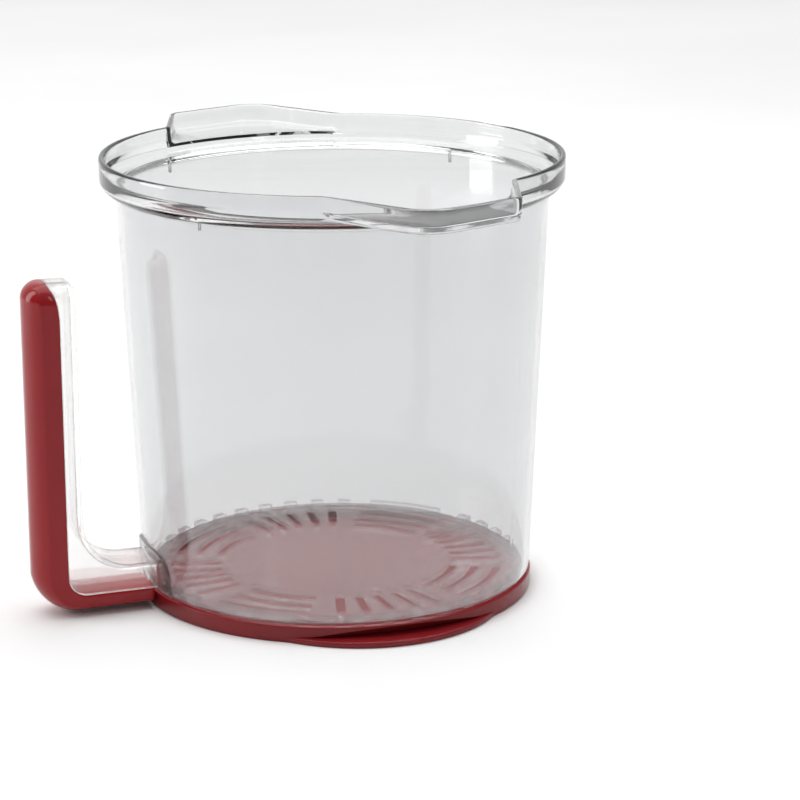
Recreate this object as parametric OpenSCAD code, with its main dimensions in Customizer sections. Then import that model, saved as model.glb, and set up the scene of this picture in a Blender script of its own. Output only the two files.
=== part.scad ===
// Popping and serving container of a hot-air popcorn maker.
// The bucket stands on its cap, with its axis on Z and the surface at Z = 0.
// The handle points along -X, and the two rim ears point roughly along -Y and +Y.

/* [Bucket] */
// Height of the rim above the surface
rim_top_z = 183; // [150:1:220]
// Outer radius of the round rim
rim_r = 95; // [92:0.5:105]
// Outer radius of the wall just above the floor
wall_foot_r = 81.3; // [75:0.1:84]
// Outer radius of the wall just under the rim's shoulder
wall_head_r = 88.5; // [85:0.1:90]
// Thickness of the wall
wall_t = 2.4; // [1.8:0.1:3]
// Thickness of the rim band and the ears
band_t = 2.2; // [1.6:0.1:2.6]
// Height of the upright part of the rim band
band_h = 8; // [6:0.5:10]
// Drop of the rounded shoulder under the band
shoulder_h = 6.4; // [4:0.1:8]

/* [Ears] */
// Depth of the pockets in the ears, from the rim's top
ear_pocket_h = 7.4; // [6:0.1:9]
// Distance from the axis to an ear's far corner, before it is rounded
ear_far_r = 131; // [120:1:135]
// Distance from the axis to an ear's near corner, before it is rounded
ear_near_r = 121.5; // [110:0.5:126]
// Angle from +X where the front ear's sloping flank leaves the rim
ear_slope_angle = -111; // [-118:1:-106]
// Angle from +X where the front ear's steep flank leaves the rim
ear_step_angle = -60; // [-64:1:-54]

/* [Under the rim] */
// Height of the short ribs inside the wall
rib_h = 5.5; // [4:0.5:8]
// Angle from +X of the first short rib
rib_angle = 35; // [0:1:60]

/* [Floor] */
// Height of the floor's underside
floor_z = 7.9; // [7.6:0.1:9]
// Thickness of the floor disc
floor_t = 2.2; // [1.8:0.1:3]
// Height of the tabs around the floor's edge
tab_h = 3.2; // [2.6:0.1:5]
// Width of a steam slot
slot_w = 3.8; // [2:0.1:4]
// Radius where the steam slots start
slot_in_r = 48; // [40:1:52]
// Radius where the steam slots end
slot_out_r = 70; // [64:1:71]

/* [Cap] */
// Outer radius of the cap
cap_r = 81.9; // [80:0.1:84]
// Height of the cap's side
cap_h = 6.9; // [6:0.1:7]
// Thickness of the cap's plate
cap_plate_t = 2.2; // [1.6:0.1:2.4]
// Reach of a finger lip from the axis
lip_reach = 89.2; // [86:0.1:92]
// Thickness of a finger lip
lip_t = 2.4; // [2:0.1:3]

/* [Handle] */
// Width of the handle
handle_w = 23; // [18:1:26]
// Height of the handle's top
handle_top_z = 138.8; // [110:0.1:150]
// Distance from the axis to the handle's finger side
grip_in_x = 111.3; // [105:0.1:116]
// Depth of the clear bar in the grip
bar_t = 6.9; // [5:0.1:9]
// Height of the arm's upper side
arm_top_z = 20.3; // [18:0.1:26]
// Thickness of the clear bar's walls
bar_wall = 2; // [1.6:0.1:2.6]
// Depth of the red cover's sides in the grip
grip_side = 7.2; // [5:0.1:7.6]
// Crown of the red cover's outer face in the grip
grip_crown = 5.8; // [3:0.1:6.4]
// Depth of the red cover's sides on the arm
arm_side = 5; // [4:0.1:5.2]
// Crown of the red cover's underside on the arm
arm_crown = 3.2; // [1:0.1:3.4]
// Radius of the inside corner between grip and arm
grip_fillet = 20; // [8:0.5:24]
// Height of the top of the pad where the arm meets the wall
pad_top_z = 25; // [22:0.5:30]
// Width of the pad
pad_w = 44; // [34:1:50]

/* [Hidden] */
smooth = 180;
over = 1;
edge_r = 0.8;
fast_steps = 8;

// Wall: a straight taper from the foot to the shoulder
shoulder_z = rim_top_z - band_h - shoulder_h;
foot_z = 7.1;
foot_round = 1.6;
shoulder_t = 3;
wall_in_top_z = shoulder_z + shoulder_t;
ledge_run = 2;
ledge_rise = 1;
band_foot_rise = 1.6;
band_in_z = rim_top_z - ear_pocket_h + band_foot_rise;

// Neck: the part of the wall that goes into the cap
rest_rise = 0.8;
neck_r = 76.6;
neck_t = 2.4;
neck_gap = 0.35;
rib_t = 1;
plate_top_z = rest_rise + cap_plate_t;

// Ears: the corners are rounded far more on the sloping flank than on the steep one
ear_base_z = rim_top_z - ear_pocket_h - band_t;
ear_far_angle = -93;
ear_near_angle = -72.8;
ear_run_out = 12;
slope_foot_round = 18;
far_round = 16;
near_round = 6;
step_foot_round = 4;

// Floor
sectors = 8;
sector_span = 360 / sectors;
slots_per_sector = 5;
slot_pitch = 8.6;
arc_rows = 3;
arc_span = 34;
tab_pitch = 9;
tab_span = 4.1;
tab_t = 3.4;
long_tab_span = 25;
long_tab_angle = -133;
disc_edge_gap = 2.8;
plate_gap = 0.2;
slot_steps = 32;

// Cap
cap_in_r = neck_r + neck_gap;
rest_in_r = 62;
hub_r = 52;
hub_rib_w = 4;
scoop_r = 130;
scoop_top_z = 6.1;
scoop_tilt = 43;
lip_r = 58;

// Handle: distances from the axis, before it is turned to -X
seam_x = grip_in_x + bar_t;
seam_z = 9.3;
seam_r = 8;
bend_x = seam_x - seam_r;
bend_z = seam_z + seam_r;
trim_end_gap = 0.7;
trim_end_x = cap_r + trim_end_gap;
nose_r = 27.7;
nose_h = 14.2;
nose_z = handle_top_z - nose_h;
nose_turn = asin(nose_h / nose_r);
top_round = 7;
side_round = 8;
finger_round = 2.5;
pad_t = 0.9;
pad_z = foot_z + edge_r;
pad_round = 10;
root_depth = 2;
crown_round = 2;
bend_steps = 16;
crown_steps = 16;
corner_steps = 4;

// Outer radius of the wall at a height
function wall_r(z) =
    wall_foot_r + (wall_head_r - wall_foot_r) * (z - foot_z) / (shoulder_z - foot_z);

// Points of an arc around a centre, in degrees
function arc(centre, radius, from, to, steps = fast_steps) =
    [for (i = [0:steps]) centre + radius * [cos(from + (to - from) * i / steps),
                                            sin(from + (to - from) * i / steps)]];

function polar(radius, angle) = radius * [cos(angle), sin(angle)];
function unit(v) = v / norm(v);

// Arc that rounds the corner b of the path a, b, c, drawn in towards the left by an inset
function rounded(a, b, c, radius, inset, steps = fast_steps) =
    let (back = unit(a - b),
         ahead = unit(c - b),
         half = acos(back * ahead) / 2,
         centre = b + unit(back + ahead) * radius / sin(half),
         out = b + back * radius / tan(half) - centre,
         turn = sign(cross(b - a, c - b)),
         start = atan2(out[1], out[0]))
    arc(centre, radius - turn * inset, start, start + turn * (180 - 2 * half), steps);

module toward_handle() mirror([1, 0, 0]) children();

module both_sides() {
    children();
    rotate([0, 0, 180]) children();
}

// One ear as a filled outline, drawn in by an inset
module ear_outline(inset) {
    slope_run = polar(rim_r, ear_slope_angle - ear_run_out);
    slope_foot = polar(rim_r, ear_slope_angle);
    far_corner = polar(ear_far_r, ear_far_angle);
    near_corner = polar(ear_near_r, ear_near_angle);
    step_foot = polar(rim_r, ear_step_angle);
    step_run = polar(rim_r, ear_step_angle + ear_run_out);
    polygon(concat(
        [[0, 0], polar(rim_r - inset, ear_slope_angle - ear_run_out)],
        rounded(slope_run, slope_foot, far_corner, slope_foot_round, inset),
        rounded(slope_foot, far_corner, near_corner, far_round, inset),
        rounded(far_corner, near_corner, step_foot, near_round, inset),
        rounded(near_corner, step_foot, step_run, step_foot_round, inset),
        [polar(rim_r - inset, ear_step_angle + ear_run_out)]));
}

module ear_block(inset, from_z, to_z) {
    both_sides()
        translate([0, 0, from_z])
            linear_extrude(to_z - from_z)
                ear_outline(inset);
}

module bucket_outside() {
    shoulder = arc([rim_r - shoulder_h, rim_top_z - band_h], shoulder_h, -90, 0);
    rotate_extrude($fn = smooth)
        polygon(concat(
            [[0, plate_top_z], [neck_r, plate_top_z], [neck_r, foot_z],
             [wall_foot_r - foot_round, foot_z], [wall_foot_r, foot_z + foot_round]],
            [[wall_r(shoulder_z), shoulder_z]],
            shoulder,
            [[rim_r, rim_top_z - edge_r], [rim_r - edge_r, rim_top_z], [0, rim_top_z]]));
    ear_block(0, ear_base_z, rim_top_z);
}

module bucket_inside() {
    band_in_r = rim_r - band_t;
    head_in_r = wall_r(wall_in_top_z) - wall_t;
    rotate_extrude($fn = smooth)
        polygon([[0, 0], [neck_r - neck_t, 0], [neck_r - neck_t, floor_z],
                 [wall_r(floor_z) - wall_t, floor_z], [head_in_r, wall_in_top_z],
                 [band_in_r - ledge_run, wall_in_top_z + ledge_rise], [band_in_r, band_in_z],
                 [band_in_r, rim_top_z + over], [0, rim_top_z + over]]);
    ear_block(band_t, rim_top_z - ear_pocket_h, rim_top_z + over);
}

module short_rib() {
    rib_in_r = wall_r(wall_in_top_z) - wall_t - rib_t;
    translate([rib_in_r, -rib_t / 2, wall_in_top_z - rib_h])
        cube([rib_t + wall_t / 2, rib_t, rib_h]);
}

module bucket() {
    color([0.86, 0.88, 0.9, 0.4]) {
        difference() {
            bucket_outside();
            bucket_inside();
        }
        for (i = [0:3])
            rotate([0, 0, rib_angle + 90 * i])
                short_rib();
    }
}

// A slot with round ends along X
module steam_slot() {
    slot_end = slot_w / 2;
    translate([slot_in_r + slot_end, -slot_end])
        square([slot_out_r - slot_in_r - slot_w, slot_w]);
    translate([slot_in_r + slot_end, 0])
        circle(slot_end, $fn = slot_steps);
    translate([slot_out_r - slot_end, 0])
        circle(slot_end, $fn = slot_steps);
}

module slot_fan() {
    for (i = [0:slots_per_sector - 1])
        rotate(slot_pitch * (i - (slots_per_sector - 1) / 2))
            steam_slot();
}

module arc_slot(radius) {
    rotate([0, 0, -arc_span / 2])
        rotate_extrude(angle = arc_span, $fn = smooth)
            translate([radius, 0])
                square([slot_w, floor_t + 2 * over]);
}

// A tab that stands out from the floor's edge
module edge_tab(span, tab_r) {
    rotate([0, 0, -span / 2])
        rotate_extrude(angle = span, $fn = smooth)
            translate([tab_r - tab_t, 0])
                square([tab_t, tab_h]);
}

module vent_plate() {
    tab_r = wall_r(floor_z) - wall_t - plate_gap;
    row_pitch = (slot_out_r - slot_in_r - slot_w) / (arc_rows - 1);
    short_tabs = floor((180 - long_tab_span) / tab_pitch) - 1;
    color([0.84, 0.85, 0.87, 0.4])
        translate([0, 0, floor_z]) {
            difference() {
                cylinder(h = floor_t, r = tab_r - disc_edge_gap, $fn = smooth);
                translate([0, 0, -over])
                    linear_extrude(floor_t + 2 * over)
                        for (i = [0:2:sectors - 1])
                            rotate(sector_span * i)
                                slot_fan();
                for (i = [1:2:sectors - 1], row = [0:arc_rows - 1])
                    rotate([0, 0, sector_span * i])
                        translate([0, 0, -over])
                            arc_slot(slot_in_r + row_pitch * row);
            }
            both_sides()
                rotate([0, 0, long_tab_angle]) {
                    edge_tab(long_tab_span, tab_r);
                    for (i = [1:short_tabs])
                        rotate([0, 0, long_tab_span / 2 + tab_pitch * i])
                            edge_tab(tab_span, tab_r);
                }
        }
}

// The scooped space over a finger lip, on the +X side
module lip_scoop() {
    intersection() {
        translate([cap_r, 0, scoop_top_z])
            rotate([0, -scoop_tilt, 0])
                translate([-cap_h * 2, 0, -scoop_r])
                    rotate([0, 90, 0])
                        cylinder(h = cap_h * 4, r = scoop_r, $fn = smooth * 2);
        translate([cap_in_r + over, -cap_r, lip_t])
            cube([cap_r, cap_r * 2, cap_h]);
    }
}

module finger_lip() {
    intersection() {
        translate([lip_reach - lip_r, 0, 0])
            cylinder(h = lip_t, r = lip_r, $fn = smooth);
        translate([rest_in_r, -cap_r, 0])
            cube([cap_r, cap_r * 2, lip_t]);
    }
}

module vent_cap() {
    color([0.56, 0.12, 0.14]) {
        difference() {
            rotate_extrude($fn = smooth)
                polygon([[0, rest_rise], [hub_r, rest_rise], [hub_r, 0], [hub_r + hub_rib_w, 0],
                         [hub_r + hub_rib_w, rest_rise], [rest_in_r, rest_rise], [rest_in_r, 0],
                         [cap_r - edge_r, 0], [cap_r, edge_r], [cap_r, cap_h - edge_r / 2],
                         [cap_r - edge_r / 2, cap_h], [cap_in_r, cap_h],
                         [cap_in_r, plate_top_z], [0, plate_top_z]]);
            both_sides()
                rotate([0, 0, 90])
                    lip_scoop();
        }
        both_sides()
            rotate([0, 0, 90])
                finger_lip();
    }
}

// The seam between bar and cover over the last stretch, where it leans out to the top
function nose_seam() = arc([seam_x + nose_r, nose_z], nose_r, 180, 180 - nose_turn);

// Side outline of the clear bar: X is the distance from the axis, Y is the height
module bar_outline() {
    polygon(concat(
        [[wall_foot_r - root_depth, seam_z]],
        arc([bend_x, bend_z], seam_r, -90, 0),
        nose_seam(),
        arc([grip_in_x + finger_round, handle_top_z - finger_round], finger_round, 90, 180),
        arc([grip_in_x - grip_fillet, arm_top_z + grip_fillet], grip_fillet, 0, -90),
        [[wall_foot_r - root_depth, arm_top_z]]));
}

// Side outline of the hollow in the bar: it is open at the seam and at the bucket's wall
module hollow_outline() {
    past_wall_x = wall_foot_r - root_depth - over;
    polygon(concat(
        [[past_wall_x, 0], [seam_x + nose_h, 0], [seam_x + nose_h, handle_top_z - bar_wall],
         [grip_in_x + bar_wall, handle_top_z - bar_wall]],
        arc([grip_in_x - grip_fillet, arm_top_z + grip_fillet], grip_fillet + bar_wall, 0, -90),
        [[past_wall_x, arm_top_z - bar_wall]]));
}

// Upright slab through the handle's side outline
module side_slab(width) {
    translate([0, width / 2, 0])
        rotate([90, 0, 0])
            linear_extrude(width)
                children();
}

// The handle seen from its end, with two round upper corners, drawn in by an inset
module end_outline(inset) {
    half_w = handle_w / 2 - inset;
    corner_r = side_round - inset;
    side_y = handle_w / 2 - side_round;
    corner_z = handle_top_z - side_round;
    polygon(concat(
        [[-half_w, 0], [half_w, 0]],
        arc([side_y, corner_z], corner_r, 0, 90),
        arc([-side_y, corner_z], corner_r, 90, 180)));
}

// A long bar along X with the given outline across it
module along_arm(length) {
    rotate([90, 0, 90])
        linear_extrude(length)
            children();
}

// The wall as a solid, grown outwards by a distance
module wall_core(grow) {
    rotate_extrude($fn = smooth)
        polygon([[0, foot_z], [wall_r(foot_z) + grow, foot_z],
                 [wall_r(shoulder_z) + grow, shoulder_z], [0, shoulder_z]]);
}

// The pad's face on the wall: upright sides and two round upper corners
module pad_outline() {
    side_y = pad_w / 2 - pad_round;
    polygon(concat(
        [[-pad_w / 2, pad_z], [pad_w / 2, pad_z]],
        arc([side_y, pad_top_z - pad_round], pad_round, 0, 90),
        arc([-side_y, pad_top_z - pad_round], pad_round, 90, 180)));
}

// The handle's length of a side outline, drawn in by an inset on its two sides and its top
module bar_body(inset) {
    intersection() {
        side_slab(handle_w - 2 * inset)
            children();
        along_arm(seam_x * 2)
            end_outline(inset);
    }
}

module handle_bar() {
    color([0.88, 0.89, 0.91, 0.4])
        toward_handle()
            difference() {
                union() {
                    difference() {
                        bar_body(0)
                            bar_outline();
                        bar_body(bar_wall)
                            hollow_outline();
                    }
                    intersection() {
                        wall_core(pad_t);
                        along_arm(cap_r * 2)
                            pad_outline();
                    }
                }
                wall_core(0);
            }
}

// Stations of the red cover from the arm's end to the top: [x, z, outward angle, side, crown]
function trim_stations() = concat(
    [[trim_end_x, seam_z, -90, arm_side, arm_crown]],
    [for (i = [0:bend_steps])
        let (t = i / bend_steps, turn = -90 + 90 * t)
        [bend_x + seam_r * cos(turn), bend_z + seam_r * sin(turn), turn,
         arm_side + (grip_side - arm_side) * t, arm_crown + (grip_crown - arm_crown) * t]],
    [[seam_x, handle_top_z, 0, grip_side, grip_crown]]);

// Section of the cover as [across, depth]: flat on the seam, upright sides and a crowned face
function trim_section(side, crown) =
    let (half_w = handle_w / 2,
         crown_r = (half_w * half_w + crown * crown) / (2 * crown),
         lean = asin(half_w / crown_r),
         flat_a = [half_w - cos(lean), side + sin(lean)],
         flat_b = [cos(lean) - half_w, side + sin(lean)],
         corner_turn = 90 - lean,
         trimmed = 2 * asin(crown_round * tan(corner_turn / 2) / (2 * crown_r)),
         reach = lean - trimmed)
    concat(
        [[half_w, 0]],
        rounded([half_w, 0], [half_w, side], flat_a, crown_round, 0, corner_steps),
        [for (i = [1:crown_steps - 1])
            let (turn = reach - 2 * reach * i / crown_steps)
            [crown_r * sin(turn), side + crown - crown_r + crown_r * cos(turn)]],
        rounded(flat_b, [-half_w, side], [-half_w, 0], crown_round, 0, corner_steps),
        [[-half_w, 0]]);

// One ring of the cover's skin
function trim_ring(station) =
    let (out = [cos(station[2]), sin(station[2])])
    [for (point = trim_section(station[3], station[4]))
        [station[0] + point[1] * out[0], point[0], station[1] + point[1] * out[1]]];

module trim_sweep() {
    rings = [for (s = trim_stations()) trim_ring(s)];
    count = len(rings[0]);
    last = len(rings) - 1;
    sides = [for (r = [0:last - 1], i = [0:count - 1])
        let (next = (i + 1) % count)
        [r * count + i, r * count + next, (r + 1) * count + next, (r + 1) * count + i]];
    polyhedron(
        points = [for (ring = rings, point = ring) point],
        faces = concat(sides,
                       [[for (i = [count - 1:-1:0]) i]],
                       [[for (i = [0:count - 1]) last * count + i]]),
        convexity = 6);
}

// Side outline that the cover keeps: the seam's lean and the round upper corner
module trim_outline() {
    face_x = seam_x + grip_side + grip_crown;
    polygon(concat(
        [[trim_end_x - over, 0], [face_x + over, 0]],
        [[face_x + over, handle_top_z - top_round]],
        arc([face_x - top_round, handle_top_z - top_round], top_round, 0, 90),
        [for (i = [fast_steps:-1:0]) nose_seam()[i]],
        [[seam_x - seam_r - over, bend_z + seam_r], [trim_end_x - over, bend_z + seam_r]]));
}

module handle_trim() {
    color([0.56, 0.12, 0.14])
        toward_handle()
            intersection() {
                trim_sweep();
                side_slab(handle_w + 2 * over)
                    trim_outline();
                along_arm(seam_x * 2)
                    end_outline(0);
            }
}

bucket();
vent_plate();
handle_bar();
handle_trim();
vent_cap();
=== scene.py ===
"""Looks of the popcorn container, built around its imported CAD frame.

Lengths are in millimetres until a mesh is made.
"""

from math import acos, atan2, cos, degrees, pi, radians, sin, sqrt, tan

import bmesh
import bpy
from mathutils import Matrix, Vector


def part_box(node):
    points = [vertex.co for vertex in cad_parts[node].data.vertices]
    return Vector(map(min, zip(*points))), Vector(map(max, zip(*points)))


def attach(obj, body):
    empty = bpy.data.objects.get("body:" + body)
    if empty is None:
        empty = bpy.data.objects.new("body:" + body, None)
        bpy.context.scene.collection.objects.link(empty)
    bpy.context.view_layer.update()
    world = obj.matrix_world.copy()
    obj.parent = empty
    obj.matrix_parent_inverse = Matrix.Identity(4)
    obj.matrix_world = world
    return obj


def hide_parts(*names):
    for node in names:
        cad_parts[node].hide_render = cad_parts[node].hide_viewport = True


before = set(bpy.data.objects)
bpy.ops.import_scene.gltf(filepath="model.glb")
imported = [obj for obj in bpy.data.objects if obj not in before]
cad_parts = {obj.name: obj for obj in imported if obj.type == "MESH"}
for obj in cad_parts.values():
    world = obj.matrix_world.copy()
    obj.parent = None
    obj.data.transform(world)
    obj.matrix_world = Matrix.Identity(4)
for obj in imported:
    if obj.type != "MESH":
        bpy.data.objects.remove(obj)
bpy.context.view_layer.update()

MM = 0.001
MERGE = 0.002


def box_mm(node):
    low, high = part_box(node)
    return low / MM, high / MM


BUCKET_LOW, BUCKET_HIGH = box_mm("bucket")
PLATE_LOW, PLATE_HIGH = box_mm("vent_plate")
BAR_LOW, BAR_HIGH = box_mm("handle_bar")
COVER_LOW, COVER_HIGH = box_mm("handle_trim")
_, CAP_HIGH = box_mm("vent_cap")

# Bucket
RIM_R = BUCKET_HIGH.x
RIM_Z = BUCKET_HIGH.z
BAND_T = 2.2
BAND_H = 8.0
SHOULDER_H = 6.4
SHOULDER_Z = RIM_Z - BAND_H - SHOULDER_H
FOOT_Z = 7.1
FOOT_R = 81.3
HEAD_R = 88.5
WALL_T = 2.4
NECK_R = 76.6
NECK_IN_R = 74.2
NECK_Z = BUCKET_LOW.z
LEDGE_Z = SHOULDER_Z + 3.0
LEDGE_DROP = 0.8
POCKET_Z = RIM_Z - 7.4
EAR_BASE_Z = POCKET_Z - BAND_T
WALL_HEIGHTS = (12.0, 40.0, 80.0, 120.0, 150.0)
BAND_DROPS = (6.0, 3.0)
BAND_LIP_H = 1.1
NECK_CHAMFER = 0.4
NECK_ROUND = 0.6
ROOT_ROUND = 0.5
FOOT_ROUND = 1.6
HEAD_ROUND = 0.9
POCKET_ROUND = 1.2
# Points (radius, height) inside the plain rim band, and down the slope from it to the wall
BAND_FOOT = ((92.8, 177.4), (92.72, 177.0), (92.6, 176.7), (92.45, 176.4))
LEDGE_SLOPE = ((92.1, POCKET_Z), (91.7, 174.7), (91.0, 173.1), (90.3, 172.45), (89.4, 172.25))

# Cap
CAP_R = CAP_HIGH.x
CAP_TOP = CAP_HIGH.z
LIP_REACH = CAP_HIGH.y
LIP_R = 58.0
LIP_T = 2.4
LIP_ROUND = 0.7
LIP_HALF_SPAN = 60.0
SCOOP_TOP = 6.3
SCOOP_FALL = 0.0055
SCOOP_SLANT = 1.05
CAP_FOOT_ROUND = 0.8
CAP_TOP_ROUND = 0.4
CAP_RIM_R = 77.35
HOLLOW_Z = 0.8
SEAT_Z = 3.0
# Points (radius, height) under the cap from its middle outwards, and on its plate back to the middle
UNDERSIDE = ((20.0, HOLLOW_Z), (51.7, HOLLOW_Z), (52.0, 0.5), (52.3, 0.0), (55.7, 0.0), (56.0, 0.5))
UNDERSIDE += ((56.3, HOLLOW_Z), (61.7, HOLLOW_Z), (62.0, 0.5), (62.4, 0.0), (70.0, 0.0))
SEAT = ((76.95, 3.3), (76.65, SEAT_Z), (60.0, SEAT_Z), (20.0, SEAT_Z))

# Handle, where u is the distance from the bucket's axis towards the handle
FACE_U = -COVER_LOW.x
GRIP_SIDE = 7.2
GRIP_CROWN = 5.8
ARM_SIDE = 5.0
ARM_CROWN = 3.2
BAR_WALL = 2.0
SEAM_U = FACE_U - GRIP_CROWN - GRIP_SIDE
GRIP_U = SEAM_U - 6.9
HALF_W = COVER_HIGH.y
TOP_Z = BAR_HIGH.z
SEAM_Z = 9.3
SEAM_R = 8.0
ARM_Z = 20.3
FILLET_R = 20.0
NOSE_R = 27.7
NOSE_H = 14.2
SIDE_ROUND = 8.0
FINGER_ROUND = 2.5
COVER_ROUND = 7.0
COVER_END_U = -COVER_HIGH.x
PAD_T = 0.9
PAD_HALF_W = BAR_HIGH.y
PAD_Z = BAR_LOW.z
PAD_TOP = 25.0
PAD_ROUND = 10.0
# Where sections are taken along the arm, as distances from the axis, and low on the cover's grip
BAR_ARM_US = (89.0, 86.5, 84.8, 83.8, 83.0, 80.0)
COVER_ARM_US = (104.0, 98.0, 92.0, 87.0, 84.0)
COVER_GRIP_ZS = [30.0, 24.0]


def wall_r(z):
    return FOOT_R + (HEAD_R - FOOT_R) * (z - FOOT_Z) / (SHOULDER_Z - FOOT_Z)


def mix(a, b, t):
    return a + (b - a) * t


def smooth(t):
    t = min(max(t, 0.0), 1.0)
    return t * t * (3 - 2 * t)


def arc(centre, radius, start, end, steps):
    """Points of an arc in a plane, from one angle in degrees to another."""
    turns = [radians(mix(start, end, i / steps)) for i in range(steps + 1)]
    return [(centre[0] + radius * cos(t), centre[1] + radius * sin(t)) for t in turns]


def polar(radius, angle):
    return Vector((radius * cos(radians(angle)), radius * sin(radians(angle))))


def rounded(a, b, c, radius, steps=8):
    """Points of the arc that rounds the corner b of the path a, b, c."""
    back, ahead = (a - b).normalized(), (c - b).normalized()
    half = acos(max(-1.0, min(1.0, back.dot(ahead)))) / 2
    centre = b + (back + ahead).normalized() * radius / sin(half)
    first = b + back * radius / tan(half) - centre
    turn = 1 if (b - a).cross(c - b) > 0 else -1
    start = degrees(atan2(first.y, first.x))
    end = start + turn * (180 - 2 * degrees(half))
    return [Vector(p) for p in arc(centre, radius, start, end, steps)]


def inset(path, distance):
    """The open path moved to its left by a distance."""
    moved = []
    for i, point in enumerate(path):
        before, after = path[max(i - 1, 0)], path[min(i + 1, len(path) - 1)]
        along = (after - before).normalized()
        moved.append(point + Vector((-along.y, along.x)) * distance)
    return moved


def reach(path, angle):
    """Distance from the axis to the path along a direction, or None where the path doesn't cross it."""
    ray = polar(1.0, angle)
    best = None
    for a, b in zip(path, path[1:]):
        side_a, side_b = ray.cross(a), ray.cross(b)
        if side_a * side_b <= 0 and side_a != side_b:
            hit = a + (b - a) * (side_a / (side_a - side_b))
            if hit.dot(ray) > 0 and (best is None or hit.dot(ray) > best):
                best = hit.dot(ray)
    return best


def link_object(name, data):
    """A scene object that holds a mesh, a lamp or a camera."""
    made = bpy.data.objects.new(name, data)
    bpy.context.scene.collection.objects.link(made)
    return made


def make_mesh(name, points, faces, sharp):
    """A mesh object from points in millimetres, with doubled points merged and normals outward."""
    mesh = bpy.data.meshes.new(name)
    mesh.from_pydata([Vector(p) * MM for p in points], [], faces)
    work = bmesh.new()
    work.from_mesh(mesh)
    bmesh.ops.remove_doubles(work, verts=work.verts, dist=MERGE * MM)
    bmesh.ops.dissolve_degenerate(work, edges=work.edges, dist=MERGE * MM / 4)
    bmesh.ops.recalc_face_normals(work, faces=work.faces)
    if work.calc_volume(signed=True) < 0:
        bmesh.ops.reverse_faces(work, faces=work.faces)
    work.to_mesh(mesh)
    work.free()
    mesh.shade_smooth()
    mesh.set_sharp_from_angle(angle=radians(sharp))
    return link_object(name, mesh)


def loft(name, rings, sharp, closed_path=False):
    """A skin over rings of equal length; the ends are closed by flat faces."""
    count = len(rings[0])
    points = [p for ring in rings for p in ring]
    faces = []
    last = len(rings) if closed_path else len(rings) - 1
    for r in range(last):
        here, there = r * count, (r + 1) % len(rings) * count
        for i in range(count):
            j = (i + 1) % count
            faces.append((here + i, here + j, there + j, there + i))
    if not closed_path:
        faces.append(tuple(range(count)))
        faces.append(tuple(range((len(rings) - 1) * count, len(rings) * count)))
    return make_mesh(name, points, faces, sharp)


# ---------------------------------------------------------------- materials


class Nodes:
    """Short calls for building one material's nodes."""

    def __init__(self, name):
        self.material = bpy.data.materials.new(name)
        self.material.use_nodes = True
        self.tree = self.material.node_tree
        self.shader = self.tree.nodes["Principled BSDF"]
        self.place = self.add("ShaderNodeTexCoord").outputs["Object"]

    def add(self, kind, **settings):
        node = self.tree.nodes.new(kind)
        for key, value in settings.items():
            setattr(node, key, value)
        return node

    def put(self, node, **values):
        for key, value in values.items():
            socket = node.inputs[key.replace("_", " ")]
            if isinstance(value, bpy.types.NodeSocket):
                self.tree.links.new(value, socket)
            else:
                socket.default_value = value
        return node

    def noise(self, scale, detail=3.0, stretch=None):
        place = self.place
        if stretch is not None:
            mapping = self.add("ShaderNodeMapping")
            self.put(mapping, Vector=place, Scale=stretch)
            place = mapping.outputs["Vector"]
        node = self.add("ShaderNodeTexNoise")
        self.put(node, Vector=place, Scale=scale, Detail=detail)
        return node.outputs["Fac"]

    def spread(self, value, low, high):
        """The middle of a noise's range stretched from low to high."""
        node = self.add("ShaderNodeMapRange")
        self.put(node, Value=value, From_Min=0.35, From_Max=0.65, To_Min=low, To_Max=high)
        return node.outputs["Result"]

    def bump(self, height, strength, distance, below=None):
        node = self.add("ShaderNodeBump")
        self.put(node, Height=height, Strength=strength, Distance=distance)
        if below is not None:
            self.tree.links.new(below, node.inputs["Normal"])
        return node.outputs["Normal"]


def clear_plastic(name, tint, roughness, wave, clarity=1.0, cover=1.0):
    """Polished clear plastic with faint moulding waves, fine scratches and a trace of haze.

    Light from the lamps passes straight through it.
    """
    n = Nodes(name)
    haze = n.noise(38.0)
    scratches = n.noise(900.0, 2.0, stretch=(1.0, 1.0, 0.06))
    waves = n.bump(n.noise(26.0, 1.0), wave, 0.0006)
    surface = n.bump(scratches, 0.015, 0.00005, waves)
    n.put(
        n.shader,
        Base_Color=tint,
        Roughness=n.spread(haze, roughness, roughness * 3.0),
        Normal=surface,
        IOR=1.49,
        Transmission_Weight=clarity,
        Alpha=cover,
    )
    lamps = n.add("ShaderNodeMixShader")
    through = n.add("ShaderNodeBsdfTransparent")
    through.inputs["Color"].default_value = (0.93, 0.93, 0.93, 1)
    n.tree.links.new(n.add("ShaderNodeLightPath").outputs["Is Shadow Ray"], lamps.inputs["Fac"])
    n.tree.links.new(n.shader.outputs["BSDF"], lamps.inputs[1])
    n.tree.links.new(through.outputs["BSDF"], lamps.inputs[2])
    n.tree.links.new(lamps.outputs["Shader"], n.tree.nodes["Material Output"].inputs["Surface"])
    return n.material


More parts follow.
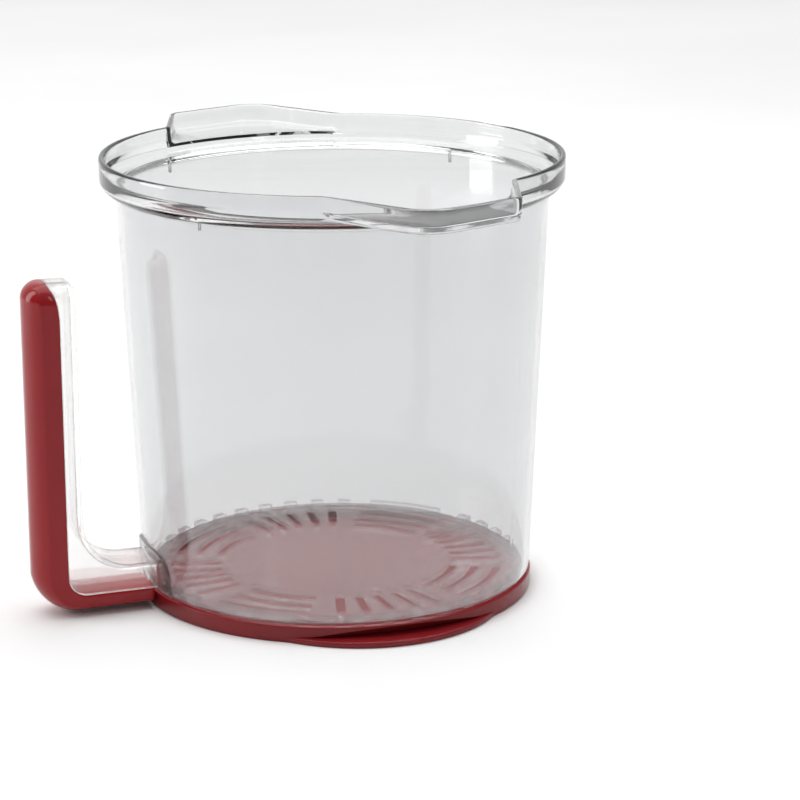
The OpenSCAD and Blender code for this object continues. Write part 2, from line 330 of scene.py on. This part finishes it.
def red_plastic(name, colour, dark, roughness):
    """Glossy moulded plastic with slight colour drift, orange peel and hairline scratches."""
    n = Nodes(name)
    drift = n.spread(n.noise(14.0), 0.0, 1.0)
    blend = n.add("ShaderNodeMix", data_type="RGBA")
    n.tree.links.new(drift, blend.inputs["Factor"])
    colours = [socket for socket in blend.inputs if socket.type == "RGBA"]
    colours[0].default_value, colours[1].default_value = colour, dark
    mixed = [socket for socket in blend.outputs if socket.type == "RGBA"][0]
    peel = n.bump(n.noise(420.0, 2.0), 0.05, 0.0001)
    marks = n.bump(n.noise(1500.0, 2.0, stretch=(1.0, 0.35, 0.08)), 0.04, 0.00005, peel)
    n.put(
        n.shader,
        Base_Color=mixed,
        Roughness=n.spread(n.noise(60.0), roughness, roughness * 1.9),
        Normal=marks,
        IOR=1.5,
        Specular_IOR_Level=0.3,
    )
    return n.material


def plain_floor(name):
    n = Nodes(name)
    tone = n.spread(n.noise(3.0), 0.0, 1.0)
    ramp = n.add("ShaderNodeValToRGB")
    ramp.color_ramp.elements[0].color = (0.86, 0.86, 0.86, 1)
    ramp.color_ramp.elements[1].color = (0.9, 0.9, 0.9, 1)
    n.tree.links.new(tone, ramp.inputs["Fac"])
    grain = n.bump(n.noise(240.0), 0.05, 0.0002)
    n.put(n.shader, Base_Color=ramp.outputs["Color"], Roughness=0.6, Normal=grain)
    return n.material


WALL_LOOK = clear_plastic("clear_wall", (0.79, 0.795, 0.8, 1), 0.01, 0.02)
FLOOR_LOOK = clear_plastic("clear_floor", (0.84, 0.84, 0.85, 1), 0.01, 0.015, clarity=0.95, cover=0.42)
BAR_LOOK = clear_plastic("clear_bar", (0.94, 0.94, 0.935, 1), 0.01, 0.02, cover=0.7)
COVER_LOOK = red_plastic("red_cover", (0.31, 0.011, 0.0145, 1), (0.27, 0.009, 0.0125, 1), 0.08)
CAP_LOOK = red_plastic("red_cap", (0.215, 0.0115, 0.015, 1), (0.185, 0.0095, 0.013, 1), 0.12)


def finish_piece(piece, look, body, node):
    piece.data.materials.clear()
    piece.data.materials.append(look)
    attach(piece, body)
    if node:
        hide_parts(node)
    return piece


# ---------------------------------------------------------------- bucket

EAR_FAR = polar(131.0, -93.0)
EAR_NEAR = polar(121.5, -72.8)
SLOPE_ANGLE = -111.0
STEP_ANGLE = -60.0
RUN_OUT = 12.0
SLOPE_ROUND = 18.0
FAR_ROUND = 16.0
NEAR_ROUND = 6.0
STEP_ROUND = 4.0
EAR_CORNER = 1.6
EAR_BLEND = 4.0
ANGLE_STEP = 2.0
LEAST_GAP = 0.12
RIB_ANGLE = 35.0
RIB_SIZE = (1.1, 1.0, 5.5)
RIB_ROUND = 0.25
RIB_OVERLAP = 0.05


def ear_path():
    """Outline of the front ear, from the sloping flank round to the steep one."""
    slope_run, slope_foot = polar(RIM_R, SLOPE_ANGLE - RUN_OUT), polar(RIM_R, SLOPE_ANGLE)
    step_foot, step_run = polar(RIM_R, STEP_ANGLE), polar(RIM_R, STEP_ANGLE + RUN_OUT)
    path = [slope_run]
    path += rounded(slope_run, slope_foot, EAR_FAR, SLOPE_ROUND)
    path += rounded(slope_foot, EAR_FAR, EAR_NEAR, FAR_ROUND, 12)
    path += rounded(EAR_FAR, EAR_NEAR, step_foot, NEAR_ROUND)
    path += rounded(EAR_NEAR, step_foot, step_run, STEP_ROUND)
    return path + [step_run]


OUTER_EAR = ear_path()
INNER_EAR = inset(OUTER_EAR, BAND_T)


def rim_radii(angle):
    """Outer and inner radius of the rim band at an angle; the two ears are half a turn apart."""
    turned = (angle + 180.0) % 360.0 - 180.0
    if turned > 0:
        turned -= 180.0
    outer, inner = reach(OUTER_EAR, turned), reach(INNER_EAR, turned)
    outer = max(outer or 0.0, RIM_R)
    inner = max(inner or 0.0, RIM_R - BAND_T)
    return outer, min(inner, outer - BAND_T)


def bucket_profile(angle):
    """Closed section of the bucket at an angle, from the neck's inner edge out, up, over and back."""
    outer, inner = rim_radii(angle)
    eared = smooth((outer - RIM_R) / EAR_BLEND)
    foot_r = wall_r(FOOT_Z)
    shoulder_r = RIM_R - SHOULDER_H
    shoulder_top = RIM_Z - BAND_H
    base_drop = shoulder_top - EAR_BASE_Z
    base_turn = -degrees(atan2(base_drop, sqrt(SHOULDER_H**2 - base_drop**2)))
    shoulder = arc((shoulder_r, shoulder_top), SHOULDER_H, -90.0, base_turn, 7)
    corner = min(EAR_CORNER, (outer - shoulder[-1][0]) * 0.9)
    half, middle = (outer - inner) / 2, (outer + inner) / 2
    head_in = wall_r(LEDGE_Z) - WALL_T
    foot_in = wall_r(PLATE_LOW.z) - WALL_T
    pocket = arc((inner - POCKET_ROUND, POCKET_Z + POCKET_ROUND), POCKET_ROUND, 0.0, -90.0, 3)
    band_foot = [(mix(a[0], b[0], eared), mix(a[1], b[1], eared)) for a, b in zip(BAND_FOOT, pocket)]
    profile = [(NECK_IN_R, NECK_Z + NECK_CHAMFER), (NECK_IN_R + NECK_CHAMFER, NECK_Z)]
    profile += [(NECK_R - 0.7, NECK_Z)]
    profile += arc((NECK_R - NECK_ROUND, NECK_Z + NECK_ROUND), NECK_ROUND, -60.0, 0.0, 2)
    profile += arc((NECK_R + ROOT_ROUND, FOOT_Z - ROOT_ROUND), ROOT_ROUND, 180.0, 90.0, 3)
    profile += arc((foot_r - FOOT_ROUND, FOOT_Z + FOOT_ROUND), FOOT_ROUND, -90.0, -3.0, 5)
    profile += [(wall_r(z), z) for z in WALL_HEIGHTS]
    profile += arc((HEAD_R + HEAD_ROUND, SHOULDER_Z - HEAD_ROUND), HEAD_ROUND, 178.0, 100.0, 3)
    profile += shoulder[1:]
    profile += arc((outer - corner, EAR_BASE_Z + corner), corner, -90.0, 0.0, 4)[1:]
    profile += [(outer, RIM_Z - drop) for drop in BAND_DROPS]
    lip = arc((0.0, 0.0), 1.0, 0.0, 180.0, 10)
    profile += [(middle + half * x, RIM_Z - BAND_LIP_H + BAND_LIP_H * z) for x, z in lip]
    profile += [(inner, RIM_Z - BAND_DROPS[-1])]
    profile += band_foot
    profile += LEDGE_SLOPE
    profile += arc((head_in + HEAD_ROUND, LEDGE_Z - LEDGE_DROP), HEAD_ROUND, 80.0, 178.0, 5)
    profile += [(wall_r(z) - WALL_T, z) for z in reversed(WALL_HEIGHTS)]
    profile += arc((foot_in - NECK_ROUND, PLATE_LOW.z + NECK_ROUND), NECK_ROUND, 0.0, -90.0, 3)
    profile += arc((NECK_IN_R + ROOT_ROUND, PLATE_LOW.z - ROOT_ROUND), ROOT_ROUND, 90.0, 180.0, 3)
    return profile


def bucket_angles():
    """Even steps round the bucket, with more where an ear's outline bends."""
    angles = [i * ANGLE_STEP for i in range(round(360 / ANGLE_STEP))]
    for point in OUTER_EAR + INNER_EAR:
        turned = degrees(atan2(point.y, point.x))
        angles += [turned % 360.0, (turned + 180.0) % 360.0]
    kept = []
    for angle in sorted(angles):
        if not kept or angle - kept[-1] > LEAST_GAP:
            kept.append(angle)
    return kept


def turn_profile(profile, angle):
    c, s = cos(radians(angle)), sin(radians(angle))
    return [(r * c, r * s, z) for r, z in profile]


def build_bucket():
    rings = [turn_profile(bucket_profile(a), a) for a in bucket_angles()]
    piece = loft("bucket_shell", rings, closed_path=True, sharp=50.0)
    return finish_piece(piece, WALL_LOOK, "container", "bucket")


def build_ribs():
    """The four short ribs inside the wall, under the ledge."""
    work = bmesh.new()
    depth, width, height = RIB_SIZE
    for i in range(4):
        radius = wall_r(LEDGE_Z) - WALL_T - depth / 2 + RIB_OVERLAP
        place = (
            Matrix.Rotation(radians(RIB_ANGLE + 90.0 * i), 4, "Z")
            @ Matrix.Translation(Vector((radius, 0, LEDGE_Z - LEDGE_DROP - height / 2)) * MM)
            @ Matrix.Diagonal(Vector((depth, width, height, 1000.0)) * MM)
        )
        made = bmesh.ops.create_cube(work, size=1.0, matrix=place)
        edges = list({e for v in made["verts"] for e in v.link_edges})
        bmesh.ops.bevel(work, geom=edges, offset=RIB_ROUND * MM, segments=3, affect="EDGES", profile=0.5)
    mesh = bpy.data.meshes.new("rim_ribs")
    work.to_mesh(mesh)
    work.free()
    mesh.shade_smooth()
    mesh.set_sharp_from_angle(angle=radians(50.0))
    return finish_piece(link_object("rim_ribs", mesh), WALL_LOOK, "container", None)


# ---------------------------------------------------------------- vented floor

SLOT_W = 3.8
SLOT_IN_R = 48.0
SLOT_OUT_R = 70.0
SLOT_PITCH = 8.6
ARC_ROWS = 3
ARC_SPAN = 34.0
TAB_T = 3.4
TAB_PITCH = 9.0
TAB_SPAN = 4.1
LONG_TAB_ANGLE = -133.0
LONG_TAB_SPAN = 25.0
DISC_T = 2.2
DISC_INSET = 2.8
SOFT_EDGE = 0.35
FLAT_NORMAL = 0.999


def ring_outline(radius, steps=180):
    return [polar(radius, 360.0 * i / steps) for i in range(steps)]


def slot_outline(angle):
    """A slot with round ends that points away from the axis."""
    end = SLOT_W / 2
    points = [Vector(p) for p in arc((SLOT_OUT_R - end, 0), end, -90.0, 90.0, 8)]
    points += [Vector(p) for p in arc((SLOT_IN_R + end, 0), end, 90.0, 270.0, 8)]
    turn = Matrix.Rotation(radians(angle), 2)
    return [turn @ p for p in points]


def band_outline(inner, outer, middle, span, steps):
    """A piece of a ring, round its middle angle."""
    angles = [middle - span / 2 + span * i / steps for i in range(steps + 1)]
    return [polar(outer, a) for a in angles] + [polar(inner, a) for a in reversed(angles)]


def slab_from(outlines, low, high):
    """Mesh of flat outlines, holes included, with soft edges, between two heights."""
    curve = bpy.data.curves.new("outline", "CURVE")
    curve.dimensions = "2D"
    curve.fill_mode = "BOTH"
    curve.extrude = ((high - low) / 2 - SOFT_EDGE) * MM
    curve.bevel_depth = SOFT_EDGE * MM
    curve.bevel_resolution = 2
    curve.offset = -SOFT_EDGE * MM
    for outline in outlines:
        spline = curve.splines.new("POLY")
        spline.points.add(len(outline) - 1)
        for point, place in zip(spline.points, outline):
            point.co = (place.x * MM, place.y * MM, 0.0, 1.0)
        spline.use_cyclic_u = True
    holder = link_object("outline", curve)
    graph = bpy.context.evaluated_depsgraph_get()
    mesh = bpy.data.meshes.new_from_object(holder.evaluated_get(graph))
    mesh.transform(Matrix.Translation((0, 0, (low + high) / 2 * MM)))
    bpy.data.objects.remove(holder)
    bpy.data.curves.remove(curve)
    return mesh


def build_vent_plate():
    tab_r = PLATE_HIGH.x
    slots = [slot_outline(90.0 * s + SLOT_PITCH * i) for s in range(4) for i in range(-2, 3)]
    pitch = (SLOT_OUT_R - SLOT_IN_R - SLOT_W) / 2
    for sector in range(4):
        for row in range(ARC_ROWS):
            inner = SLOT_IN_R + pitch * row
            slots.append(band_outline(inner, inner + SLOT_W, 45.0 + 90.0 * sector, ARC_SPAN, 16))
    rim = ring_outline(tab_r - DISC_INSET)
    disc = slab_from([rim] + slots, PLATE_LOW.z, PLATE_LOW.z + DISC_T)
    tabs = []
    count = int((180.0 - LONG_TAB_SPAN) / TAB_PITCH) - 1
    for half_turn in (0.0, 180.0):
        start = LONG_TAB_ANGLE + half_turn
        tabs.append(band_outline(tab_r - TAB_T, tab_r, start, LONG_TAB_SPAN, 14))
        for i in range(1, count + 1):
            middle = start + LONG_TAB_SPAN / 2 + TAB_PITCH * i
            tabs.append(band_outline(tab_r - TAB_T, tab_r, middle, TAB_SPAN, 3))
    crown = slab_from(tabs, PLATE_LOW.z, PLATE_HIGH.z)
    work = bmesh.new()
    work.from_mesh(disc)
    work.from_mesh(crown)
    bmesh.ops.remove_doubles(work, verts=work.verts, dist=MERGE * MM)
    bmesh.ops.recalc_face_normals(work, faces=work.faces)
    flat = {f.index for f in work.faces if abs(f.normal.z) > FLAT_NORMAL}
    for edge in work.edges:
        sides = {f.index in flat for f in edge.link_faces}
        edge.smooth = len(sides) == 1 and edge.calc_face_angle(0.0) < radians(35.0)
    mesh = bpy.data.meshes.new("vent_floor")
    work.to_mesh(mesh)
    work.free()
    for polygon in mesh.polygons:
        polygon.use_smooth = True
    piece = link_object("vent_floor", mesh)
    return finish_piece(piece, FLOOR_LOOK, "container", "vent_plate")


# ---------------------------------------------------------------- cap


def cap_profile(angle):
    """Section of the cap at an angle, from the axis along the underside, out and back on top."""
    off = (angle % 180.0) - 90.0
    swing = LIP_REACH - LIP_R
    lip = swing * cos(radians(off)) + sqrt(max(LIP_R**2 - (swing * sin(radians(off))) ** 2, 0.0))
    outer = max(CAP_R, lip if abs(off) < LIP_HALF_SPAN else 0.0)
    stretch = outer - CAP_R
    scoop_z = max(SCOOP_TOP - SCOOP_FALL * off * off, LIP_T) if stretch > 0 else LIP_T
    scoop = max(scoop_z - LIP_T, 0.0) * SCOOP_SLANT
    top_round = min(LIP_ROUND, stretch)
    profile = list(UNDERSIDE)
    profile += arc((outer - CAP_FOOT_ROUND, CAP_FOOT_ROUND), CAP_FOOT_ROUND, -90.0, 0.0, 4)
    profile += arc((outer - top_round, LIP_T - top_round), top_round, 0.0, 90.0, 4)
    inner_r = CAP_R - scoop
    steps = 8
    for i in range(steps + 1):
        t = i / steps
        # the scoop leaves the lip's top flat and steepens as it climbs to the cap's side
        profile.append((mix(inner_r, CAP_R, 1 - (1 - t) ** 0.8), mix(LIP_T, scoop_z, t**1.15)))
    round_z = CAP_TOP - CAP_TOP_ROUND
    profile += arc((CAP_R - CAP_TOP_ROUND, round_z), CAP_TOP_ROUND, 0.0, 90.0, 3)
    profile += arc((CAP_RIM_R, round_z), CAP_TOP_ROUND, 90.0, 180.0, 3)
    return profile + list(SEAT)


def build_cap():
    angles = [i * 1.5 for i in range(240)]
    rings = [turn_profile(cap_profile(a), a) for a in angles]
    count = len(rings[0])
    points = [p for ring in rings for p in ring]
    faces = []
    for r in range(len(rings)):
        here, there = r * count, (r + 1) % len(rings) * count
        faces += [(here + i, here + i + 1, there + i + 1, there + i) for i in range(count - 1)]
    faces.append(tuple(r * count for r in range(len(rings))))
    faces.append(tuple(r * count + count - 1 for r in range(len(rings))))
    piece = make_mesh("press_cap", points, faces, sharp=42.0)
    return finish_piece(piece, CAP_LOOK, "cap", "vent_cap")


# ---------------------------------------------------------------- handle


def seam_u(z):
    """Distance of the seam from the axis in the grip; it leans out over the last stretch."""
    rise = max(z - (TOP_Z - NOSE_H), 0.0)
    return SEAM_U + NOSE_R - sqrt(NOSE_R**2 - rise**2)


def half_width(z):
    rise = min(max(z - (TOP_Z - SIDE_ROUND), 0.0), SIDE_ROUND)
    return HALF_W - SIDE_ROUND + sqrt(SIDE_ROUND**2 - rise**2)


def along(path, fraction):
    """Point at a fraction of an open path's length."""
    lengths = [(b - a).length for a, b in zip(path, path[1:])]
    left = fraction * sum(lengths)
    for a, b, length in zip(path, path[1:], lengths):
        if left <= length:
            return a + (b - a) * (left / length)
        left -= length
    return path[-1].copy()


def top_heights(steps=12):
    """Heights of the stations over the round top, closest together at the very top."""
    return [TOP_Z - SIDE_ROUND + SIDE_ROUND * sin(pi / 2 * i / steps) for i in range(steps, 0, -1)]


def grip_heights():
    """Heights of the stations down the straight grip."""
    low, high, steps = ARM_Z + FILLET_R, TOP_Z - SIDE_ROUND, 16
    return [mix(high, low, i / steps) for i in range(steps + 1)]


def bar_stations():
    """Finger-side point, seam point and half width, from the top down and along the arm."""
    stations = []
    for z in top_heights() + grip_heights():
        rise = min(max(z - (TOP_Z - FINGER_ROUND), 0.0), FINGER_ROUND)
        finger = GRIP_U + FINGER_ROUND - sqrt(FINGER_ROUND**2 - rise**2)
        stations.append((Vector((finger, z)), Vector((seam_u(z), z)), half_width(z)))
    centre = (GRIP_U - FILLET_R, ARM_Z + FILLET_R)
    inner = [Vector(p) for p in arc(centre, FILLET_R, 0.0, -90.0, 24)]
    bend = (SEAM_U - SEAM_R, SEAM_Z + SEAM_R)
    outer = [Vector((SEAM_U, centre[1]))]
    outer += [Vector(p) for p in arc(bend, SEAM_R, 0.0, -90.0, 16)]
    outer += [Vector((centre[0], SEAM_Z))]
    steps = 30
    stations += [(along(inner, i / steps), along(outer, i / steps), HALF_W) for i in range(1, steps + 1)]
    for u in BAR_ARM_US:
        stations.append((Vector((u, ARM_Z)), Vector((u, SEAM_Z)), HALF_W))
    return stations


QUARTER = [radians(90 * i / 5) for i in range(6)]
OVERLAP = 0.15


def hollow_half(z):
    """Half the width of the bar's hollow at a height."""
    corner = SIDE_ROUND - BAR_WALL
    rise = min(max(z - (TOP_Z - SIDE_ROUND), 0.0), corner)
    return HALF_W - SIDE_ROUND + sqrt(corner**2 - rise**2)


def channel_ring(station):
    """Section of the bar at a station: a channel that opens to the seam, with soft outer corners."""
    finger, seam, half = station
    deep = seam - finger
    depth = deep.length
    deep = deep / depth
    finger_r = min(1.6, half * 0.6, depth * 0.4)
    inner_r = min(1.0, half * 0.3)
    inside = hollow_half(finger.y)
    lip = 0.3
    right = [(depth, inside + lip), (depth, half - lip), (depth - lip, half), (depth * 0.6, half)]
    right += [(finger_r - finger_r * sin(t), half - finger_r + finger_r * cos(t)) for t in QUARTER]
    back = [(depth - lip, inside), (depth * 0.6, inside)]
    turn_d, turn_y = BAR_WALL + inner_r, inside - inner_r
    back += [(turn_d - inner_r * sin(t), turn_y + inner_r * cos(t)) for t in QUARTER]
    outer = right + [(a, -y) for a, y in reversed(right)]
    inner = back + [(a, -y) for a, y in reversed(back)]
    ring = outer + list(reversed(inner))
    return [(-(finger.x + deep.x * a), y, finger.y + deep.y * a) for a, y in ring]


def filled(ring):
    """The channel's section with its hollow filled up to the seam."""
    outer = (len(QUARTER) + 4) * 2
    start, end = Vector(ring[outer - 1]), Vector(ring[0])
    count = len(ring) - outer
    return ring[:outer] + [tuple(start.lerp(end, (i + 1) / (count + 1))) for i in range(count)]


def build_bar():
    closed_z = TOP_Z - BAR_WALL
    rings, was_top = [], True
    for station in bar_stations():
        top = station[0].y > closed_z
        ring = channel_ring(station)
        if was_top:
            rings.append(filled(ring))
        if not top:
            rings.append(ring)
        was_top = top
    fitted = []
    for ring in rings:
        fitted.append([])
        for x, y, z in ring:
            limit = sqrt((wall_r(z) + PAD_T - OVERLAP) ** 2 - y * y)
            fitted[-1].append((min(x, -limit), y, z))
    piece = loft("clear_handle", fitted, sharp=38.0)
    return finish_piece(piece, BAR_LOOK, "container", "handle_bar")


def pad_outline(shrink):
    """Arched outline of the pad on the wall as (y, z) points, drawn in by a distance."""
    half, top, low, radius = PAD_HALF_W - shrink, PAD_TOP - shrink, PAD_Z + shrink, PAD_ROUND - shrink
    path = [Vector((-half, mix(low, top - radius, i / 4))) for i in range(5)]
    path += [Vector(p) for p in arc((-half + radius, top - radius), radius, 180.0, 90.0, 10)][1:]
    path += [Vector((mix(-half + radius, half - radius, i / 12), top)) for i in range(1, 12)]
    path += [Vector(p) for p in arc((half - radius, top - radius), radius, 90.0, 0.0, 10)]
    path += [Vector((half, mix(top - radius, low, i / 4))) for i in range(1, 5)]
    return path


def build_pad():
    """Thin arched pad between the wall and the arm, following the wall."""
    layers = [(0.0, -OVERLAP), (0.0, PAD_T * 0.45), (0.2, PAD_T * 0.8), (0.55, PAD_T)]
    points, faces = [], []
    outlines = [pad_outline(shrink) for shrink, _ in layers]
    count = len(outlines[0])
    for outline, (_, proud) in zip(outlines, layers):
        for p in outline:
            radius = wall_r(p.y) + proud
            points.append((-sqrt(radius * radius - p.x * p.x), p.x, p.y))
    for layer in range(len(layers) - 1):
        here, there = layer * count, (layer + 1) * count
        for i in range(count):
            j = (i + 1) % count
            faces.append((here + i, here + j, there + j, there + i))
    # the two faces are strips between the mirrored halves of the outline
    for start in (0, (len(layers) - 1) * count):
        for i in range(count // 2):
            strip = (start + i, start + i + 1, start + count - 2 - i, start + count - 1 - i)
            faces.append(tuple(dict.fromkeys(strip)))
    piece = make_mesh("handle_pad", points, faces, sharp=45.0)
    return finish_piece(piece, BAR_LOOK, "container", None)


def cover_stations():
    """Seam point, outward direction, side depth, crown and half width, from the top down."""
    stations = []
    full = GRIP_SIDE + GRIP_CROWN
    for z in top_heights() + grip_heights() + COVER_GRIP_ZS:
        rise = min(max(z - (TOP_Z - COVER_ROUND), 0.0), COVER_ROUND)
        face = FACE_U - COVER_ROUND + sqrt(COVER_ROUND**2 - rise**2)
        depth = face - seam_u(z)
        share = min(depth / full, 1.0)
        place = Vector((seam_u(z), z))
        out = Vector((1.0, 0.0))
        stations.append((place, out, GRIP_SIDE * share, GRIP_CROWN * share, half_width(z)))
    steps = 24
    for i in range(steps + 1):
        turn = radians(-90.0 * i / steps)
        out = Vector((cos(turn), sin(turn)))
        place = Vector((SEAM_U - SEAM_R, SEAM_Z + SEAM_R)) + out * SEAM_R
        side, crown = mix(GRIP_SIDE, ARM_SIDE, i / steps), mix(GRIP_CROWN, ARM_CROWN, i / steps)
        stations.append((place, out, side, crown, HALF_W))
    down = Vector((0.0, -1.0))
    for u in COVER_ARM_US:
        stations.append((Vector((u, SEAM_Z)), down, ARM_SIDE, ARM_CROWN, HALF_W))
    # the far end is drawn in over the last three sections, which rounds its edge
    for shrink in (0.0, 0.15, 0.5):
        place = Vector((COVER_END_U + 0.5 - shrink, SEAM_Z))
        side, crown = ARM_SIDE - shrink * 0.4, ARM_CROWN - shrink * 0.3
        stations.append((place, down, side, crown, HALF_W - shrink * 0.5))
    return stations


def cover_ring(station):
    """Section of the cover: flat on the seam, upright sides, rounded corners and a crowned face."""
    place, out, side, crown, half = station
    edge = min(0.35, side * 0.3)
    corner = min(2.0, side * 0.4, half * 0.3)
    crown_r = (half * half + crown * crown) / (2 * crown)
    lean = atan2(half, crown_r - crown)
    slope = Vector((half - cos(lean), side + sin(lean)))
    turned = rounded(Vector((half, 0.0)), Vector((half, side)), slope, corner, 5)
    start = atan2(turned[-1].x, turned[-1].y - (side + crown - crown_r))
    right = [(half - edge, 0.0), (half - edge * 0.35, 0.08), (half, edge), (half, side * 0.5)]
    right += [(p.x, p.y) for p in turned]
    steps = 22
    middle = []
    for i in range(1, steps):
        turn = mix(start, -start, i / steps)
        middle.append((crown_r * sin(turn), side + crown - crown_r + crown_r * cos(turn)))
    section = right + middle + [(-y, d) for y, d in reversed(right)]
    return [(-(place.x + out.x * d), y, place.y + out.y * d) for y, d in section]


def build_cover():
    rings = [cover_ring(s) for s in cover_stations()]
    piece = loft("red_handle_cover", rings, sharp=38.0)
    return finish_piece(piece, COVER_LOOK, "container", "handle_trim")


# ---------------------------------------------------------------- studio

# Brightness of the world along each axis, on its negative and its positive side
WORLD_LEVELS = (("X", 0.16, 0.5), ("Y", 0.13, 0.9), ("Z", 0.72, 0.72))
# Camera in metres and directions, with its lens and sensor in millimetres
CAMERA_PLACE = (-0.3700, -1.0930, 0.3912)
CAMERA_AHEAD = (0.3309, 0.9066, -0.2620)
CAMERA_RIGHT = (0.9391, -0.3437, -0.0034)
LENS = 129.09
SENSOR = 36.0
# Name, place, target, size and power of each lamp, in metres and watts
LAMPS = (
    ("top", (0.0, 0.7, 2.2), (0, 0.7, 0), (3.0, 2.6), 42.0),
    ("left_card", (-1.3, 0.55, 0.55), (-0.1, 0, 0.08), (0.5, 1.3), 9.0),
    ("front_strip", (0.7, -1.6, 1.3), (0, 0, 0.1), (0.25, 0.9), 3.0),
)


def add_camera():
    data = bpy.data.cameras.new("camera")
    data.lens = LENS
    data.sensor_width = SENSOR
    camera = link_object("camera", data)
    ahead = Vector(CAMERA_AHEAD).normalized()
    right = Vector(CAMERA_RIGHT)
    right = (right - ahead * right.dot(ahead)).normalized()
    up = right.cross(ahead)
    basis = Matrix((right, up, -ahead)).transposed()
    camera.matrix_world = Matrix.Translation(CAMERA_PLACE) @ basis.to_4x4()
    bpy.context.scene.camera = camera


def add_area(name, place, target, size, power):
    data = bpy.data.lights.new(name, "AREA")
    data.shape = "RECTANGLE"
    data.size, data.size_y = size
    data.energy = power
    lamp = link_object(name, data)
    lamp.location = place
    lamp.rotation_euler = (Vector(target) - Vector(place)).to_track_quat("-Z", "Y").to_euler()


def add_floor():
    size, steps = 6.0, 24
    work = bmesh.new()
    bmesh.ops.create_grid(work, x_segments=steps, y_segments=steps, size=size)
    mesh = bpy.data.meshes.new("studio_floor")
    work.to_mesh(mesh)
    work.free()
    floor = link_object("studio_floor", mesh)
    floor.data.materials.append(plain_floor("pale_floor"))


def add_world():
    """Soft light by direction: bright behind, above and on the right, dim in front and on the left."""
    world = bpy.data.worlds.new("studio")
    world.use_nodes = True
    tree = world.node_tree

    def math(operation, *values):
        node = tree.nodes.new("ShaderNodeMath")
        node.operation = operation
        for socket, value in zip(node.inputs, values):
            if isinstance(value, bpy.types.NodeSocket):
                tree.links.new(value, socket)
            else:
                socket.default_value = value
        return node.outputs["Value"]

    place = tree.nodes.new("ShaderNodeTexCoord")
    parts = tree.nodes.new("ShaderNodeSeparateXYZ")
    tree.links.new(place.outputs["Generated"], parts.inputs["Vector"])
    total = 0.0
    for axis, negative, positive in WORLD_LEVELS:
        along_axis = parts.outputs[axis]
        squared = math("MULTIPLY", along_axis, along_axis)
        is_positive = math("GREATER_THAN", along_axis, 0.0)
        level = math("MULTIPLY_ADD", is_positive, positive - negative, negative)
        total = math("MULTIPLY_ADD", squared, level, total)
    background = tree.nodes["Background"]
    background.inputs["Color"].default_value = (1, 1, 1, 1)
    tree.links.new(total, background.inputs["Strength"])
    bpy.context.scene.world = world


build_bucket()
build_ribs()
build_vent_plate()
build_cap()
build_bar()
build_pad()
build_cover()
add_camera()
add_floor()
add_world()
for lamp in LAMPS:
    add_area(*lamp)
bpy.context.scene.view_settings.view_transform = "Standard"
